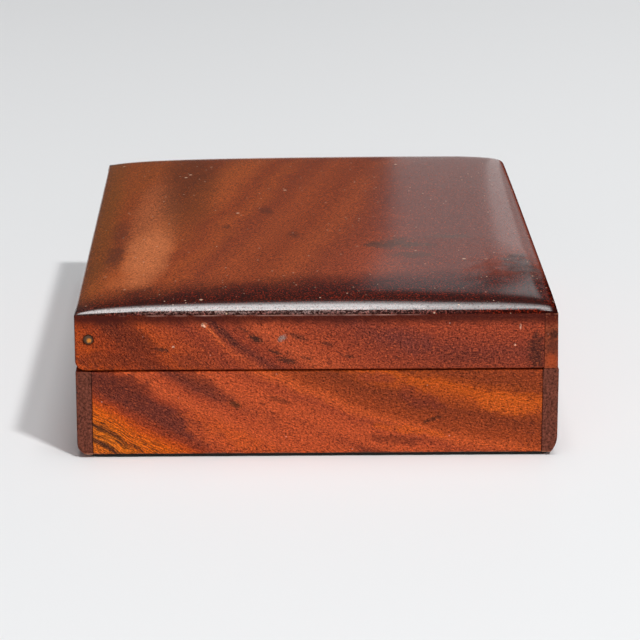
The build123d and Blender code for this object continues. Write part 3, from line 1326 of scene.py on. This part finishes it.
@dataclass
class Lid:
    """The lid: two end rails and a front rail under the pillow top."""

    rail_end: float = 54.1
    top_arris: float = 35.3

    def _near_end(self) -> Mahogany:
        """Gives the near end rail its finish: a steep dark streak left of the middle, calm on the right.

        Returns:
            The finish.
        """
        figure = Figure(RAIL_BANDS, slope=0.55, bend=0.006, wander=1.8, streaks=2.4)
        return Mahogany(
            "near_rail_mahogany",
            Grain.END_BOARD,
            figure,
            RAIL_MARKS,
            joints=(self.rail_end,),
            joint_dirt=0.3,
            arris_highlights=(Arris(self.top_arris, -40.0, 23.0, 0.6, stain(196, 150, 136)),),
            dark_top=33.4,
            fibres=0.65,
            grit=0.7,
        )

    def _plain(self, name: str, grain: Grain, slope: float) -> Mahogany:
        """Gives one of the other rails its finish.

        Args:
            name: The finish's name.
            grain: Which way the rail lies.
            slope: How its figure leans.

        Returns:
            The finish.
        """
        dark, middle, light = stain(104, 42, 30), stain(146, 60, 36), stain(176, 74, 42)
        order = (middle, light, middle, dark, middle, light, middle, dark, light, middle)
        bands = tuple((-6.0 + 6.0 * place, tone) for place, tone in enumerate(order))
        figure = Figure(bands, slope=slope, bend=0.0008, wander=4.0, streaks=4.0)
        return Mahogany(
            name,
            grain,
            figure,
            end_marks=RAIL_END_MARKS if grain is Grain.LONG_BOARD else (),
            joints=(self.rail_end,) if grain is Grain.END_BOARD else (),
            joint_dirt=0.1,
            arris_highlights=(Arris(self.top_arris),),
            dark_top=33.6,
            end_grain=stain(128, 58, 34),
        )

    def _pillow(self) -> Pillow:
        """Gives the top its finish: a leaning figure, painted reflections such as an orange patch by the
        hinge, bruises.

        Returns:
            The finish.
        """
        figure = Figure(TOP_BANDS, slope=-0.25, wander=4.0, streaks=7.0)
        return Pillow(
            "pillow_mahogany",
            Grain.FLAT_BOARD,
            figure,
            TOP_MARKS,
            pores=0.3,
            depth=1.0,
            grit=0.45,
            dust=0.6,
            gloss=1.0,
            relief=0.3,
            varnish=0.14,
        )

    def dress(self) -> None:
        """Builds and dresses every piece of the lid."""
        far = self._plain("far_rail_mahogany", Grain.END_BOARD, 0.3)
        front = self._plain("front_rail_mahogany", Grain.LONG_BOARD, -0.14)
        rails = (
            ("near_end_rail", "lid_left_rail", self._near_end()),
            ("far_end_rail", "lid_right_rail", far),
            ("opening_side_rail", "lid_front_rail", front),
        )
        for name, node, finish in rails:
            Board(name, node, Body.LID, "lid_mahogany", finish).dress()
        PillowTop("pillow_top", "lid_top", Body.LID, "pillow_mahogany", self._pillow()).dress()


@dataclass
class Hinge:
    """The two pins that the lid turns on."""

    pins: tuple[tuple[str, str, int], ...] = (
        ("near_hinge_pin", "left_hinge_pin", -1),
        ("far_hinge_pin", "right_hinge_pin", 1),
    )

    def dress(self) -> None:
        """Builds and dresses both pins."""
        for name, node, end in self.pins:
            HingePin(name, node, Body.BASE, "pin_brass", Brass(name), end).dress()


@dataclass
class Studio:
    """The pale floor, the lamps and the camera."""

    camera_place: tuple[float, float, float] = (-0.0118, -0.7196, 0.2175)
    pitch: float = 16.0
    yaw: float = 1.11
    lens: float = 158.1
    sensor: float = 36.0
    floor_size: float = 8.0
    floor_cells: int = 8

    def floor(self) -> None:
        """Lays the floor."""
        floor = Bench.new_grid("floor", self.floor_cells, self.floor_cells, self.floor_size)
        floor.data.materials.append(PaleFloor("pale_floor").make())

    @staticmethod
    def lamp(
        name: str, place: tuple[float, float, float], size: tuple[float, float], power: float, aim: Vector
    ) -> None:
        """Hangs one soft lamp.

        Args:
            name: The lamp's name.
            place: Where its middle is.
            size: Its two sides.
            power: Its power in watts.
            aim: The point that it faces.
        """
        light = bpy.data.lights.new(name, "AREA")
        light.shape = "RECTANGLE"
        light.size, light.size_y = size
        light.energy = power
        lamp = bpy.data.objects.new(name, light)
        bpy.context.scene.collection.objects.link(lamp)
        lamp.location = place
        lamp.rotation_euler = (aim - Vector(place)).to_track_quat("-Z", "Y").to_euler()

    def lamps(self) -> None:
        """Hangs the lamps: fading strips overhead, a key, a wide one in front, a weak haze behind."""
        aside, up = 0.20, 2.9
        near_edge = Vector((aside, -0.08, 0.038))
        strips = (
            ("overhead", -0.485, 0.51, 20.0),
            ("overhead_fade_1", -0.03, 0.40, 9.6),
            ("overhead_fade_2", 0.40, 0.46, 5.6),
            ("overhead_fade_3", 0.91, 0.56, 3.4),
        )
        for name, y, deep, power in strips:
            self.lamp(name, (aside, y, up), (1.4, deep), power, near_edge)
        box, sky = Vector((0.0, 0.0, 0.02)), Vector((0.2, 0.0, 0.2))
        self.lamp("key", (1.13, -1.60, 2.53), (0.26, 0.26), 62.0, box)
        self.lamp("front", (-0.3, -3.9, 1.3), (5.0, 1.2), 36.0, box)
        self.lamp("haze", (0.385, 1.5, 0.39), (0.6, 0.76), 0.42, sky)
        self.lamp("haze_edge", (0.27, 1.46, 0.39), (0.1, 0.76), 0.07, sky)

    @staticmethod
    def world() -> None:
        """Gives the room round the box: dim at the horizon, bright above."""
        world = bpy.data.worlds.new("studio_room")
        world.use_nodes = True
        tree = world.node_tree
        tree.nodes.clear()
        kinds = ("TexCoord", "SeparateXYZ", "ValToRGB", "Background", "OutputWorld")
        coordinate, split, ramp, sky, end = (tree.nodes.new(f"ShaderNode{kind}") for kind in kinds)
        low, high = (0.05, 0.05, 0.052, 1.0), (0.34, 0.342, 0.348, 1.0)
        Recipe.set_stops(ramp.color_ramp, [(0.7, low), (1.0, high)])
        tree.links.new(coordinate.outputs["Generated"], split.inputs[0])
        tree.links.new(split.outputs["Z"], ramp.inputs[0])
        tree.links.new(ramp.outputs["Color"], sky.inputs["Color"])
        tree.links.new(sky.outputs[0], end.inputs[0])
        bpy.context.scene.world = world

    def camera(self) -> None:
        """Sets the camera at the photograph's viewing angle."""
        camera = bpy.data.objects.new("camera", bpy.data.cameras.new("camera"))
        bpy.context.scene.collection.objects.link(camera)
        camera.location = self.camera_place
        camera.rotation_euler = (math.radians(90 - self.pitch), 0, math.radians(-self.yaw))
        camera.data.lens = self.lens
        camera.data.sensor_width = self.sensor
        bpy.context.scene.camera = camera

    def build(self) -> None:
        """Builds the whole studio."""
        self.floor()
        self.lamps()
        self.world()
        self.camera()
        bpy.context.scene.view_settings.view_transform = "Standard"


def main() -> None:
    """Builds the box and its studio."""
    logging.basicConfig(level=logging.INFO, format="%(message)s")
    Studio().build()
    Base().dress()
    Lid().dress()
    Hinge().dress()


if __name__ == "__main__":
    main()
